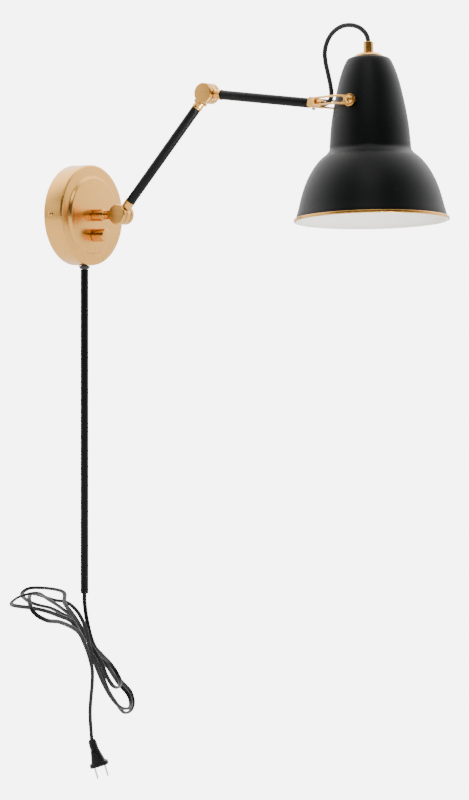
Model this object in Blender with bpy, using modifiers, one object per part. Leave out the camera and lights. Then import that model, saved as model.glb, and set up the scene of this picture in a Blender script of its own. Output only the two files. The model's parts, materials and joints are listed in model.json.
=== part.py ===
"""Swing arm wall sconce: brass canopy, two black arm tubes on three-disc elbows, a slotted yoke and
a bell shade, with a plug-in cord. Metres, +Z up. The wall is the plane y = 0 and the lamp reaches
out along -Y. The origin is the centre of the canopy's back, on the wall."""

import bmesh
import bpy
from math import atan2, cos, degrees, pi, radians, sin
from mathutils import Matrix, Vector

MM = 0.001
GAP = 0.3 * MM  # left between pieces that touch
ORIGIN = (0.0, 0.0, 0.0)

# canopy and post, distances out from the wall
CANOPY_R = 60.3 * MM
CANOPY_DEPTH = 26.0 * MM
CANOPY_WALL = 1.2 * MM
DISC_BASE_R = 46.8 * MM
DISC_TOP_R = 45.0 * MM
DISC_FACE = 29.5 * MM
POST_R = 7.5 * MM
POST_END = 44.0 * MM
POST_BORE_R = 5.3 * MM
NIPPLE_R = 4.9 * MM
SIDE_SCREW_OUT = 10.0 * MM
KNOB_DROP = 24.0 * MM
KNOB_R = 7.9 * MM
KNOB_END = 47.1 * MM

# elbows
ELBOW_OUT = 69.1 * MM
DRUM_R = 12.0 * MM
TONGUE_HALF = 3.5 * MM
WASHER_IN = 3.8 * MM
WASHER_OUT = 4.4 * MM
CHEEK_IN = 4.7 * MM
CHEEK_OUT = 7.45 * MM
CAP_IN = 7.75 * MM
CAP_OUT = 10.0 * MM
PIVOT_R = 2.0 * MM
PIVOT_BORE_R = 2.3 * MM
FERRULE_R = 5.75 * MM
FERRULE_LIP_R = 6.2 * MM
FERRULE_END = 21.0 * MM
SPIGOT_R = 4.5 * MM
SPIGOT_END = 33.0 * MM
WIRE_BORE_R = 2.4 * MM
WIRE_R = 2.2 * MM

# arms: angles above the horizontal at rest
ARM_R = 5.55 * MM
ARM_BORE_R = 4.8 * MM
LOWER_ANGLE = 47.9
LOWER_LENGTH = 186.6 * MM
UPPER_ANGLE = -7.0
UPPER_LENGTH = 143.1 * MM

# yoke, in its own frame: Z along the arm from the arm's end, X across
YOKE_ROLL = -3.5
BARREL_R = 4.9 * MM
BARREL_BORE_R = 2.95 * MM
BARREL_END = 17.0 * MM
PIVOT_ALONG = 77.9 * MM
PIVOT_RISE = 4.6 * MM
STRAP_ROOT_X = 6.8 * MM
STRAP_EYE_X = 41.6 * MM
STRAP_THICK = 1.9 * MM
STRAP_HALF = 5.2 * MM
STRAP_BAR = 2.1 * MM
STRAP_BENDS = (9.0 * MM, 60.0 * MM)
EYE_R = 7.0 * MM

# shade, in its own frame: Z up its axis from the pivot
SHADE_LEAN = 10.3
SHADE_WALL = 1.0 * MM
SHADE_TOP = 52.4 * MM
SHADE_HOLE_R = 5.0 * MM
RIM_LOW = -129.9 * MM
RIM_HIGH = -126.7 * MM
RIM_R = 84.5 * MM
RIM_THICK = 1.4 * MM
CAP_TOP = 70.3 * MM
GRIP_BASE = 58.5 * MM
SOCKET_R = 17.5 * MM
SOCKET_TOP = 44.0 * MM
SOCKET_MOUTH = -6.0 * MM
SCREW_HEAD_R = 4.8 * MM

# cords
COVER_OUT = 13.6 * MM
COVER_R = 4.7 * MM
COVER_TOP = -65.3 * MM
COVER_END = -455.0 * MM
LEAD_R = 2.5 * MM
HEAD_CABLE_R = 2.6 * MM

# the outer side of the shade, radius and height from the pivot, top to bottom
SHADE_PROFILE = (
    (5.0, 52.4), (19.0, 52.3), (22.4, 51.4), (24.8, 49.0), (31.6, 32.5), (38.2, 5.2), (42.9, -21.9),
    (45.0, -44.5), (45.6, -51.0), (48.6, -55.2), (54.6, -60.2), (60.1, -66.3), (65.4, -73.9), (70.2, -82.7),
    (74.2, -92.3), (77.3, -102.2), (81.0, -116.5), (83.6, -126.0), (84.1, -130.0),
)

# The flat cord's route from the cover's end to the plug, in millimetres: down into the tied waist,
# then three loops to the lower right and three to the upper left by turns.
CORD_ROUTE = (
    (0, -13.6, -455.3), (0, -13.6, -464), (1, -17, -489), (9, -21, -518), (26, -20, -532),
    (49, -15, -546), (55, -19, -556), (53, -27, -566), (43, -33, -572), (26, -37, -568),
    (16, -35, -555), (11, -31, -539), (-1, -22, -514), (-13, -20, -496), (-33, -23, -477),
    (-56, -28, -460), (-82, -46, -442), (-118, -39, -434), (-124, -29, -435), (-122, -18, -441),
    (-95, -3, -454), (-77, -3, -461), (-55, -5, -467), (-31, -4, -477), (-7, -3, -489),
    (23, -3, -519), (39, -6, -535), (63, -5, -555), (87, -3, -574), (101, -7, -589),
    (101, -11, -602), (93, -13, -610), (80, -14, -611), (61, -16, -597), (46, -14, -578),
    (25, -14, -540), (11, -13, -517), (-5, -14, -499), (-25, -15, -481), (-54, -19, -465),
    (-84, -25, -452), (-119, -36, -440), (-130, -31, -441), (-134, -21, -445), (-125, -4, -455),
    (-86, -4, -464), (-68, -9, -469), (-46, -11, -477), (-17, -8, -488), (17, -8, -518),
    (32, -10, -534), (51, -10, -551), (77, -7, -575), (85, -16, -590), (80, -23, -600),
    (70, -26, -603), (53, -26, -598), (33, -24, -578), (5, -25, -538), (-7, -26, -515),
    (-14, -27, -496), (-24, -23, -475), (-38, -18, -462), (-57, -13, -457), (-97, -10, -446),
    (-116, -27, -460), (-115, -35, -467), (-106, -41, -473), (-76, -37, -479), (-34, -31, -496),
    (-20, -29, -511), (-8, -27, -529), (-1, -26, -545), (2, -24, -560), (4, -19, -598),
    (6, -20, -632),
)
PLUG_AXIS = Vector((0.165, -0.24, -0.956)).normalized()
PLUG_ACROSS = Vector((0.566, -0.824, 0.0))

# The braided cable over the shade, from inside the yoke's barrel to inside the cable grip.
HEAD_ROUTE = (
    (0, -344.1, 120.03), (0, -348.6, 119.48), (0, -353.1, 118.92), (0, -357.7, 119.4), (0.1, -361.4, 121.7),
    (0.2, -363.7, 125.4), (0.3, -364.3, 130), (0.6, -362.9, 140), (1.1, -359.2, 153.7), (1.6, -355.6, 167),
    (2, -354.6, 178.7), (2.5, -357.6, 189.7), (2.9, -364.4, 199), (3.4, -375.5, 205.2), (4, -388.3, 206),
    (4.6, -399.5, 202), (5, -406.3, 195.6), (4.78, -409, 190.3), (4.5, -410.04, 186.15),
    (4.06, -410.45, 179.08),
)

for old in list(bpy.data.objects):
    bpy.data.objects.remove(old)
parts = bpy.data.collections.new("swing_arm_wall_sconce")
tools = bpy.data.collections.new("cutters")
bpy.context.scene.collection.children.link(parts)
bpy.context.scene.collection.children.link(tools)


def material(name, colour, roughness, metallic):
    made = bpy.data.materials.new(name)
    made.use_nodes = True
    shader = made.node_tree.nodes["Principled BSDF"]
    shader.inputs["Base Color"].default_value = (*colour, 1.0)
    shader.inputs["Roughness"].default_value = roughness
    shader.inputs["Metallic"].default_value = metallic
    return made


BRASS = material("satin_brass", (0.78, 0.55, 0.30), 0.30, 1.0)
BLACK = material("black_enamel", (0.018, 0.020, 0.020), 0.38, 0.0)
STEEL = material("zinc_steel", (0.62, 0.62, 0.60), 0.35, 1.0)
RUBBER = material("black_pvc", (0.015, 0.015, 0.015), 0.45, 0.0)
BRAID = material("black_braid", (0.02, 0.02, 0.02), 0.75, 0.0)
PHENOLIC = material("black_phenolic", (0.03, 0.028, 0.026), 0.35, 0.0)
CERAMIC = material("white_ceramic", (0.85, 0.84, 0.80), 0.25, 0.0)
NICKEL = material("nickel", (0.70, 0.69, 0.66), 0.22, 1.0)
FIBRE = material("red_fibre", (0.30, 0.08, 0.05), 0.70, 0.0)


def place(obj, parent, location=ORIGIN, rotation=ORIGIN):
    obj.parent = parent
    obj.location = location
    obj.rotation_euler = rotation
    return obj


def frame(name, parent=None, location=ORIGIN, rotation=ORIGIN):
    empty = bpy.data.objects.new(name, None)
    parts.objects.link(empty)
    return place(empty, parent, location, rotation)


def mesh_object(name, mesh, finish):
    obj = bpy.data.objects.new(name, mesh)
    (parts if finish else tools).objects.link(obj)
    if finish:
        mesh.materials.append(finish)
    else:
        obj.hide_render = True
        obj.display_type = "WIRE"
    return obj


def turned(name, profile, finish, parent, location=ORIGIN, rotation=ORIGIN, steps=16, ring=False):
    """A turned piece on its frame's Z axis. The profile holds (radius, height) points that run down
    the outer side; ring closes it into a loop round a bore."""
    mesh = bpy.data.meshes.new(name)
    points = [(radius, 0.0, height) for radius, height in profile]
    edges = [(i, i + 1) for i in range(len(points) - 1)]
    if ring:
        edges.append((len(points) - 1, 0))
    mesh.from_pydata(points, edges, [])
    obj = mesh_object(name, mesh, finish)
    screw = obj.modifiers.new("turn", "SCREW")
    screw.steps = steps
    screw.render_steps = steps
    screw.use_merge_vertices = True
    screw.merge_threshold = 0.00001
    screw.use_smooth_shade = True
    return place(obj, parent, location, rotation)


def rod(name, radius, low, high, finish, parent, location=ORIGIN, rotation=ORIGIN, steps=12, edge=0.0):
    profile = [(0, high), (radius - edge, high), (radius, high - edge), (radius, low + edge),
               (radius - edge, low), (0, low)]
    if not edge:
        profile = [(0, high), (radius, high), (radius, low), (0, low)]
    return turned(name, profile, finish, parent, location, rotation, steps)


def tube(name, outer, inner, low, high, finish, parent, location=ORIGIN, rotation=ORIGIN, steps=16):
    profile = [(outer, high), (outer, low), (inner, low), (inner, high)]
    return turned(name, profile, finish, parent, location, rotation, steps, ring=True)


def box(name, low, high, finish, parent, location=ORIGIN, rotation=ORIGIN, edge=0.0):
    """A box between two corners, with its edges rounded by a two-step bevel where edge is given."""
    mesh = bpy.data.meshes.new(name)
    build = bmesh.new()
    size = Vector(high) - Vector(low)
    middle = (Vector(high) + Vector(low)) / 2
    bmesh.ops.create_cube(build, size=1.0, matrix=Matrix.Translation(middle) @ Matrix.Diagonal((*size, 1)))
    build.to_mesh(mesh)
    build.free()
    obj = mesh_object(name, mesh, finish)
    if edge:
        bevel = obj.modifiers.new("edge", "BEVEL")
        bevel.width = edge
        bevel.segments = 2
    return place(obj, parent, location, rotation)


def prism(name, sides, across, low, high, bore, finish, parent, location=ORIGIN, rotation=ORIGIN):
    """A nut: a regular prism on Z, across its flats, with a plain bore."""
    mesh = bpy.data.meshes.new(name)
    build = bmesh.new()
    corner = across / 2 / cos(pi / sides)
    lift = Matrix.Translation((0, 0, (low + high) / 2))
    bmesh.ops.create_cone(build, cap_ends=True, segments=sides, radius1=corner, radius2=corner,
                          depth=high - low, matrix=lift)
    build.to_mesh(mesh)
    build.free()
    obj = place(mesh_object(name, mesh, finish), parent, location, rotation)
    cut(obj, rod(name + "_bore", bore, low - MM, high + MM, None, parent, location, rotation, steps=20))
    return obj


def boolean(obj, other, operation):
    step = obj.modifiers.new(other.name, "BOOLEAN")
    step.operation = operation
    step.solver = "EXACT"
    step.object = other


def cut(obj, other):
    boolean(obj, other, "DIFFERENCE")


def join(obj, other):
    boolean(obj, other, "UNION")


def smooth_route(points, sharpest):
    """Points on a centripetal Catmull-Rom curve through the route, in metres: each route point, and
    one between two points where the route turns by more than the angle given."""
    way = [Vector(p) * MM for p in points]
    way = [2 * way[0] - way[1], *way, 2 * way[-1] - way[-2]]
    out = []
    for p0, p1, p2, p3 in zip(way, way[1:], way[2:], way[3:]):
        out.append(p1)
        turn = degrees((p1 - p0).angle(p3 - p2))
        if turn > sharpest:
            out.append(between(p0, p1, p2, p3))
    return [*out, way[-2]]


def between(p0, p1, p2, p3):
    """The middle of the centripetal Catmull-Rom arc from p1 to p2."""
    t0 = 0.0
    t1 = t0 + (p1 - p0).length ** 0.5
    t2 = t1 + (p2 - p1).length ** 0.5
    t3 = t2 + (p3 - p2).length ** 0.5
    t = (t1 + t2) / 2
    a1 = p0.lerp(p1, (t - t0) / (t1 - t0))
    a2 = p1.lerp(p2, (t - t1) / (t2 - t1))
    a3 = p2.lerp(p3, (t - t2) / (t3 - t2))
    b1 = a1.lerp(a2, (t - t0) / (t2 - t0))
    b2 = a2.lerp(a3, (t - t1) / (t3 - t1))
    return b1.lerp(b2, (t - t1) / (t2 - t1))


def cord(name, points, radius, finish):
    curve = bpy.data.curves.new(name, "CURVE")
    curve.dimensions = "3D"
    curve.bevel_depth = radius
    curve.bevel_resolution = 2
    curve.use_fill_caps = True
    spline = curve.splines.new("POLY")
    spline.points.add(len(points) - 1)
    for knot, point in zip(spline.points, points):
        knot.co = (*point, 1.0)
    curve.materials.append(finish)
    obj = bpy.data.objects.new(name, curve)
    parts.objects.link(obj)
    return obj


OUTWARD = (radians(90), 0, 0)
ACROSS = (0, radians(90), 0)
ACROSS_BACK = (0, radians(-90), 0)


def arm_frame(name, out, height, angle):
    """A frame on an elbow's axis: X along the axis, Z along an arm at this angle above horizontal."""
    return frame(name, None, (0, -out, height), (radians(90 - angle), 0, 0))


base = frame("wall_axis", None, (0, 0, 0), OUTWARD)
lower_elbow = arm_frame("lower_elbow_axis", ELBOW_OUT, 0.0, 0.0)
lower_arm = arm_frame("lower_arm_axis", ELBOW_OUT, 0.0, LOWER_ANGLE)
reach = LOWER_LENGTH * cos(radians(LOWER_ANGLE)) + ELBOW_OUT
rise = LOWER_LENGTH * sin(radians(LOWER_ANGLE))
upper_elbow = arm_frame("upper_elbow_axis", reach, rise, LOWER_ANGLE)
upper_arm = arm_frame("upper_arm_axis", reach, rise, UPPER_ANGLE)
yoke = frame("yoke_axis", upper_arm, (0, 0, UPPER_LENGTH), (0, 0, radians(YOKE_ROLL)))
head = frame("shade_axis", yoke, (0, PIVOT_RISE, PIVOT_ALONG), (radians(-90 - SHADE_LEAN), 0, 0))


def make_bracket():
    half = 9.0 * MM
    plate = 1.6 * MM
    reach_x = 57.9 * MM
    bar = box("mounting_bracket", (-reach_x, -half, 0), (reach_x, half, plate), STEEL, base)
    # the ears stand a hair inside the bar's outline, so that the union has no faces in one plane
    for side in (-1, 1):
        x = sorted((side * (reach_x - 0.05 * MM), side * (reach_x - plate)))
        low = (x[0], 0.1 * MM - half, 0.4 * MM)
        join(bar, box(f"bracket_ear_{side}", low, (x[1], half - 0.1 * MM, 18 * MM), None, base))
        slot = (side * 30 * MM, 0, 0)
        low = (-6 * MM, -2.4 * MM, -MM)
        cut(bar, box(f"bracket_slot_{side}", low, (6 * MM, 2.4 * MM, 3 * MM), None, base, slot))
    at = (0, 0, SIDE_SCREW_OUT)
    cut(bar, rod("bracket_screw_bore", 2.2 * MM, -70 * MM, 70 * MM, None, base, at, ACROSS))


def make_canopy():
    edge = 1.8 * MM
    profile = [(POST_BORE_R, DISC_FACE), (DISC_TOP_R - 0.8 * MM, DISC_FACE),
               (DISC_TOP_R, DISC_FACE - 0.5 * MM), (DISC_BASE_R - 0.4 * MM, CANOPY_DEPTH + 0.4 * MM),
               (DISC_BASE_R + 0.4 * MM, CANOPY_DEPTH)]
    for i in range(4):
        turn = radians(90 - 30 * i)
        profile.append((CANOPY_R - edge + edge * cos(turn), CANOPY_DEPTH - edge + edge * sin(turn)))
    profile.append((CANOPY_R, 0.0))
    canopy = turned("canopy", profile, BRASS, base, steps=36)
    wall = canopy.modifiers.new("wall", "SOLIDIFY")
    wall.thickness = CANOPY_WALL
    wall.offset = -1
    wall.use_even_offset = True
    cut(canopy, rod("knob_hole", 4.8 * MM, 20 * MM, 35 * MM, None, base, (0, -KNOB_DROP, 0)))
    cut(canopy, rod("side_holes", 2.2 * MM, -70 * MM, 70 * MM, None, base, (0, 0, SIDE_SCREW_OUT), ACROSS))
    down = (radians(90), 0, 0)
    cut(canopy, rod("gland_hole", 4.3 * MM, 50 * MM, 70 * MM, None, base, (0, 0, COVER_OUT), down))


def make_side_screws():
    for side, turn in (("left", ACROSS_BACK), ("right", ACROSS)):
        head_in = CANOPY_R + GAP
        profile = [(0, head_in + 1.7 * MM), (1.6 * MM, head_in + 1.5 * MM), (2.7 * MM, head_in + 1.0 * MM),
                   (3.3 * MM, head_in + 0.3 * MM), (3.3 * MM, head_in), (1.9 * MM, head_in),
                   (1.9 * MM, 52 * MM), (0, 52 * MM)]
        screw = turned(f"canopy_screw_{side}", profile, BRASS, base, (0, 0, SIDE_SCREW_OUT), turn, steps=24)
        cut(screw, box(f"canopy_screw_slot_{side}", (-0.5 * MM, -5 * MM, head_in + 0.8 * MM),
                       (0.5 * MM, 5 * MM, head_in + 3 * MM), None, base, (0, 0, SIDE_SCREW_OUT), turn))


def make_post():
    low = DISC_FACE + GAP
    profile = [(POST_R - 0.7 * MM, POST_END), (POST_R, POST_END - 0.7 * MM), (POST_R, low),
               (POST_BORE_R, low), (POST_BORE_R, POST_END)]
    turned("post_barrel", profile, BRASS, base, ring=True)
    tube("post_nipple", NIPPLE_R, 3.2 * MM, 14 * MM, 35.5 * MM, STEEL, base, steps=24)
    prism("post_locknut", 6, 17 * MM, 24 * MM, 27.9 * MM, NIPPLE_R + GAP, STEEL, base)


def make_dimmer():
    at = (0, -KNOB_DROP, 0)
    low = (-14 * MM, -10 * MM, 11 * MM)
    body = box("dimmer_body", low, (14 * MM, 10 * MM, 23 * MM), PHENOLIC, base, at, edge=MM)
    join(body, rod("dimmer_bushing", 4.4 * MM, 20 * MM, 34 * MM, None, base, at))
    cut(body, rod("dimmer_bore", 3.2 * MM, 15 * MM, 36 * MM, None, base, at))
    prism("dimmer_nut", 6, 11 * MM, DISC_FACE + GAP, DISC_FACE + 2.2 * MM, 4.7 * MM, STEEL, base, at)
    rod("dimmer_shaft", 2.9 * MM, 16 * MM, 43 * MM, STEEL, base, at)
    low = DISC_FACE + 0.5 * MM
    edge = 0.8 * MM
    profile = [(0, KNOB_END), (KNOB_R - edge, KNOB_END), (KNOB_R, KNOB_END - edge), (KNOB_R, low),
               (6.6 * MM, low), (6.6 * MM, low + 4.8 * MM), (3.2 * MM, low + 4.8 * MM),
               (3.2 * MM, 43.3 * MM), (0, 43.3 * MM)]
    turned("dimmer_knob", profile, BRASS, base, at)


def make_connectors():
    for side, x in (("left", -40 * MM), ("right", 40 * MM)):
        profile = [(0, 21 * MM), (2.6 * MM, 20.4 * MM), (3.2 * MM, 19 * MM), (3.9 * MM, 6 * MM),
                   (4.6 * MM, 5.6 * MM), (4.6 * MM, 3 * MM), (0, 3 * MM)]
        turned(f"wire_connector_{side}", profile, CERAMIC, base, (x, -26 * MM, 0), steps=16)


def make_cord_cover():
    column = frame("cover_axis", None, (0, -COVER_OUT, 0))
    flange = -CANOPY_R - GAP
    profile = [(3.9 * MM, -52 * MM), (3.9 * MM, flange), (6.7 * MM, flange), (6.7 * MM, flange - 1.6 * MM),
               (5.0 * MM, COVER_TOP + GAP), (3.4 * MM, COVER_TOP + GAP), (3.4 * MM, -72 * MM),
               (2.8 * MM, -72 * MM), (2.8 * MM, -52 * MM)]
    turned("cord_gland", profile, PHENOLIC, column, ring=True, steps=12)
    prism("cord_gland_nut", 6, 12 * MM, -58.2 * MM, -55.2 * MM, 4.2 * MM, STEEL, column)
    tube("cord_cover", COVER_R, 3.8 * MM, COVER_END, COVER_TOP, BLACK, column, steps=24)
    tube("cover_bushing", 3.5 * MM, 2.8 * MM, COVER_END, COVER_END + 7 * MM, RUBBER, column, steps=20)
    rod("cover_lead", LEAD_R, COVER_END, -50 * MM, RUBBER, column, steps=12)


def bolt_profile():
    grip = CHEEK_OUT + GAP
    tip = CAP_OUT - 0.9 * MM
    return [(0, tip), (3.6 * MM, tip), (4.2 * MM, tip - 0.6 * MM), (4.2 * MM, grip), (PIVOT_R, grip),
            (PIVOT_R, -grip), (4.2 * MM, -grip), (4.2 * MM, 0.6 * MM - tip), (3.6 * MM, -tip), (0, -tip)]


def make_elbow_hardware(name, at):
    """The pivot bolt with its two heads, the friction washers and the two outer caps of an elbow."""
    turned(f"{name}_elbow_bolt", bolt_profile(), STEEL, at, rotation=ACROSS, steps=20)
    pocket_r = 4.6 * MM
    pocket = CAP_OUT - 0.6 * MM
    bevel = 0.9 * MM
    for side, turn in (("front", ACROSS_BACK), ("rear", ACROSS)):
        washer = f"{name}_washer_{side}"
        tube(washer, 7.0 * MM, PIVOT_BORE_R, WASHER_IN, WASHER_OUT, FIBRE, at, rotation=turn)
        profile = [(0, CAP_OUT), (DRUM_R - bevel, CAP_OUT), (DRUM_R, CAP_OUT - bevel), (DRUM_R, CAP_IN),
                   (pocket_r, CAP_IN), (pocket_r, pocket), (0, pocket)]
        turned(f"{name}_cap_{side}", profile, BRASS, at, rotation=turn, steps=20)


def make_fork(name, at, neck):
    """Two cheeks round an elbow's axis on a turned neck that runs down the frame's -Z."""
    fork = rod(name, DRUM_R, -CHEEK_OUT, CHEEK_OUT, BRASS, at, rotation=ACROSS, steps=20)
    join(fork, turned(name + "_neck", neck, None, at))
    low = (-7.2 * MM, -4.8 * MM, -14.6 * MM)
    join(fork, box(name + "_root", low, (7.2 * MM, 4.8 * MM, -4 * MM), None, at))
    room = DRUM_R + 0.4 * MM
    cut(fork, rod(name + "_slot", room, -CHEEK_IN, CHEEK_IN, None, at, rotation=ACROSS, steps=20))
    cut(fork, rod(name + "_bore", PIVOT_BORE_R, -20 * MM, 20 * MM, None, at, rotation=ACROSS))
    cut(fork, rod(name + "_wire", WIRE_BORE_R, -40 * MM, -8 * MM, None, at))
    return fork


def make_tongue(name, at):
    """The middle disc of an elbow with the ferrule that holds an arm tube, along the frame's +Z."""
    tongue = rod(name, DRUM_R, -TONGUE_HALF, TONGUE_HALF, BRASS, at, rotation=ACROSS, steps=20)
    low = DRUM_R + 0.7 * MM
    profile = [(0, SPIGOT_END), (SPIGOT_R, SPIGOT_END), (SPIGOT_R, FERRULE_END), (FERRULE_LIP_R, FERRULE_END),
               (FERRULE_LIP_R, FERRULE_END - 0.9 * MM), (FERRULE_R, FERRULE_END - 2.4 * MM), (FERRULE_R, low),
               (0, low)]
    join(tongue, turned(name + "_ferrule", profile, None, at))
    low = (-TONGUE_HALF, -4.4 * MM, 4 * MM)
    join(tongue, box(name + "_web", low, (TONGUE_HALF, 4.4 * MM, 16 * MM), None, at))
    cut(tongue, rod(name + "_bore", PIVOT_BORE_R, -20 * MM, 20 * MM, None, at, rotation=ACROSS))
    cut(tongue, rod(name + "_wire", WIRE_BORE_R, 8 * MM, 40 * MM, None, at))


def make_arms():
    neck_start = ELBOW_OUT - POST_END - GAP
    swivel_end = ELBOW_OUT - 36.5 * MM
    neck = [(0, -8 * MM), (5.4 * MM, -8 * MM), (5.4 * MM, 0.8 * MM - neck_start), (6.2 * MM, -neck_start),
            (5.0 * MM, -neck_start), (5.0 * MM, -swivel_end), (0, -swivel_end)]
    make_fork("lower_fork", lower_elbow, neck)
    make_elbow_hardware("lower", lower_elbow)
    make_tongue("lower_tongue", lower_arm)
    low = FERRULE_END + GAP
    tube("lower_arm_tube", ARM_R, ARM_BORE_R, low, LOWER_LENGTH - low, BLACK, lower_arm)
    rod("lower_arm_wire", WIRE_R, 34 * MM, LOWER_LENGTH - 34 * MM, RUBBER, lower_arm, steps=12)
    ferrule = [(0, -8 * MM), (FERRULE_R, -8 * MM), (FERRULE_R, 2.4 * MM - FERRULE_END),
               (FERRULE_LIP_R, 0.9 * MM - FERRULE_END), (FERRULE_LIP_R, -FERRULE_END),
               (SPIGOT_R, -FERRULE_END), (SPIGOT_R, -SPIGOT_END), (0, -SPIGOT_END)]
    make_fork("upper_fork", upper_elbow, ferrule)
    make_elbow_hardware("upper", upper_elbow)
    make_tongue("upper_tongue", upper_arm)
    tube("upper_arm_tube", ARM_R, ARM_BORE_R, low, UPPER_LENGTH - 1.1 * MM, BLACK, upper_arm)
    rod("upper_arm_wire", WIRE_R, 34 * MM, UPPER_LENGTH - 16 * MM, RUBBER, upper_arm, steps=12)
    end = UPPER_LENGTH - 0.1 * MM
    bush = [(ARM_R, end), (ARM_R, end - 0.7 * MM), (SPIGOT_R, end - 0.7 * MM), (SPIGOT_R, end - 14 * MM),
            (3.9 * MM, end - 14 * MM), (3.9 * MM, end)]
    turned("arm_end_bush", bush, BRASS, upper_arm, ring=True)


def strap_side(along):
    """How far a strap stands from the middle plane, at a distance along the yoke."""
    first, last = STRAP_BENDS
    share = min(max((along - first) / (last - first), 0.0), 1.0)
    return STRAP_ROOT_X + share * (STRAP_EYE_X - STRAP_ROOT_X)


def outline(curve, points):
    spline = curve.splines.new("POLY")
    spline.points.add(len(points) - 1)
    for knot, (x, y) in zip(spline.points, points):
        knot.co = (x, y, 0.0, 1.0)
    spline.use_cyclic_u = True


def arc(centre, radius, start, stop, count):
    out = []
    for i in range(count + 1):
        turn = radians(start + (stop - start) * i / count)
        out.append((centre[0] + radius * cos(turn), centre[1] + radius * sin(turn)))
    return out


def strap_mesh(name, side):
    """A flat slotted strap with a round eye, bent out to the side at two lines."""
    curve = bpy.data.curves.new(name, "CURVE")
    curve.dimensions = "2D"
    curve.fill_mode = "BOTH"
    curve.extrude = STRAP_THICK / 2
    eye = (PIVOT_ALONG, 0.0)
    root = 1.8 * MM
    corner = 1.5 * MM
    meet = degrees(atan2(STRAP_HALF, -(EYE_R ** 2 - STRAP_HALF ** 2) ** 0.5))
    points = [(root, STRAP_HALF - corner), (root + corner, STRAP_HALF), *arc(eye, EYE_R, meet, -meet, 20),
              (root + corner, -STRAP_HALF), (root, corner - STRAP_HALF)]
    outline(curve, points)
    slot = STRAP_HALF - STRAP_BAR
    slot_end = PIVOT_ALONG - 10.5 * MM
    outline(curve, [*arc((14 * MM, 0), slot, 90, 270, 6), *arc((slot_end, 0), slot, -90, 90, 6)])
    outline(curve, arc(eye, 2.3 * MM, 0, 342, 19))
    flat = bpy.data.objects.new(name + "_flat", curve)
    parts.objects.link(flat)
    mesh = bpy.data.meshes.new_from_object(flat.evaluated_get(bpy.context.evaluated_depsgraph_get()))
    bpy.data.objects.remove(flat)
    build = bmesh.new()
    build.from_mesh(mesh)
    bmesh.ops.remove_doubles(build, verts=build.verts, dist=0.00001)
    for bend in STRAP_BENDS:
        whole = build.verts[:] + build.edges[:] + build.faces[:]
        bmesh.ops.bisect_plane(build, geom=whole, dist=0.000001, plane_co=(bend, 0, 0), plane_no=(1, 0, 0))
    for vert in build.verts:
        along, up, thick = vert.co
        lift = PIVOT_RISE * (0.22 + 0.78 * along / PIVOT_ALONG)
        vert.co = (side * (strap_side(along) + STRAP_THICK / 2 + thick), up + lift, along)
    bmesh.ops.triangulate(build, faces=build.faces)
    bmesh.ops.recalc_face_normals(build, faces=build.faces)
    build.to_mesh(mesh)
    build.free()
    return mesh


def make_yoke():
    step = BARREL_R + 0.4 * MM
    barrel = [(BARREL_R - 0.6 * MM, BARREL_END), (BARREL_R, BARREL_END - 0.6 * MM), (BARREL_R, 0.4 * MM),
              (3.6 * MM, 0.4 * MM), (3.6 * MM, -13 * MM), (BARREL_BORE_R, -13 * MM),
              (BARREL_BORE_R, BARREL_END)]
    turned("cable_nipple", barrel, BRASS, yoke, ring=True)
    low = (-6.4 * MM, -1.0 * MM, 1.8 * MM)
    saddle = box("yoke_block", low, (6.4 * MM, 6.6 * MM, 9.4 * MM), BRASS, yoke, edge=0.5 * MM)
    cut(saddle, rod("yoke_block_bore", step, -5 * MM, 20 * MM, None, yoke))
    for side, sign in (("left", -1), ("right", 1)):
        strap = mesh_object(f"yoke_strap_{side}", strap_mesh(f"yoke_strap_{side}", sign), BRASS)
        place(strap, yoke)
    head_low = BARREL_R + GAP
    profile = [(0, head_low + 2.2 * MM), (1.6 * MM, head_low + 2.0 * MM), (2.1 * MM, head_low + 1.4 * MM),
               (2.1 * MM, head_low), (0, head_low)]
    turned("yoke_lock_screw", profile, BRASS, yoke, (0, 0, 5.5 * MM), (radians(90), 0, 0), steps=16)


def make_shade():
    profile = [(radius * MM, height * MM) for radius, height in SHADE_PROFILE]
    shade = turned("shade", profile, BLACK, head, steps=32)
    wall = shade.modifiers.new("wall", "SOLIDIFY")
    wall.thickness = SHADE_WALL
    wall.offset = -1
    cut(shade, rod("shade_pivot_holes", 2.3 * MM, -60 * MM, 60 * MM, None, head, rotation=ACROSS))
    swell = RIM_R + RIM_THICK
    bead = [(RIM_R, RIM_HIGH), (swell - 0.5 * MM, RIM_HIGH), (swell, RIM_HIGH - 0.9 * MM),
            (swell, RIM_LOW + 0.9 * MM), (swell - 0.5 * MM, RIM_LOW), (RIM_R, RIM_LOW)]
    turned("shade_rim", bead, BRASS, head, ring=True, steps=32)
    dome = [(5.9 * MM, GRIP_BASE), (8.5 * MM, GRIP_BASE - 0.5 * MM), (12.5 * MM, GRIP_BASE - 1.9 * MM),
            (15.2 * MM, SHADE_TOP + 2.5 * MM), (16.2 * MM, SHADE_TOP + 1.5 * MM),
            (16.2 * MM, SHADE_TOP + GAP), (SHADE_HOLE_R, SHADE_TOP + GAP), (SHADE_HOLE_R, GRIP_BASE)]
    turned("shade_cap", dome, BRASS, head, ring=True, steps=28)
    low = GRIP_BASE + GAP
    inner = HEAD_CABLE_R + 0.4 * MM
    grip = [(4.8 * MM, CAP_TOP), (5.5 * MM, CAP_TOP - 0.7 * MM), (5.5 * MM, low), (5.0 * MM, low),
            (5.0 * MM, low + 4 * MM), (inner, low + 4 * MM), (inner, CAP_TOP)]
    turned("cable_grip", grip, BRASS, head, ring=True)
    tube("shade_nipple", 4.7 * MM, 3.2 * MM, 38 * MM, low + 3.6 * MM, STEEL, head, steps=20)


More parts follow.
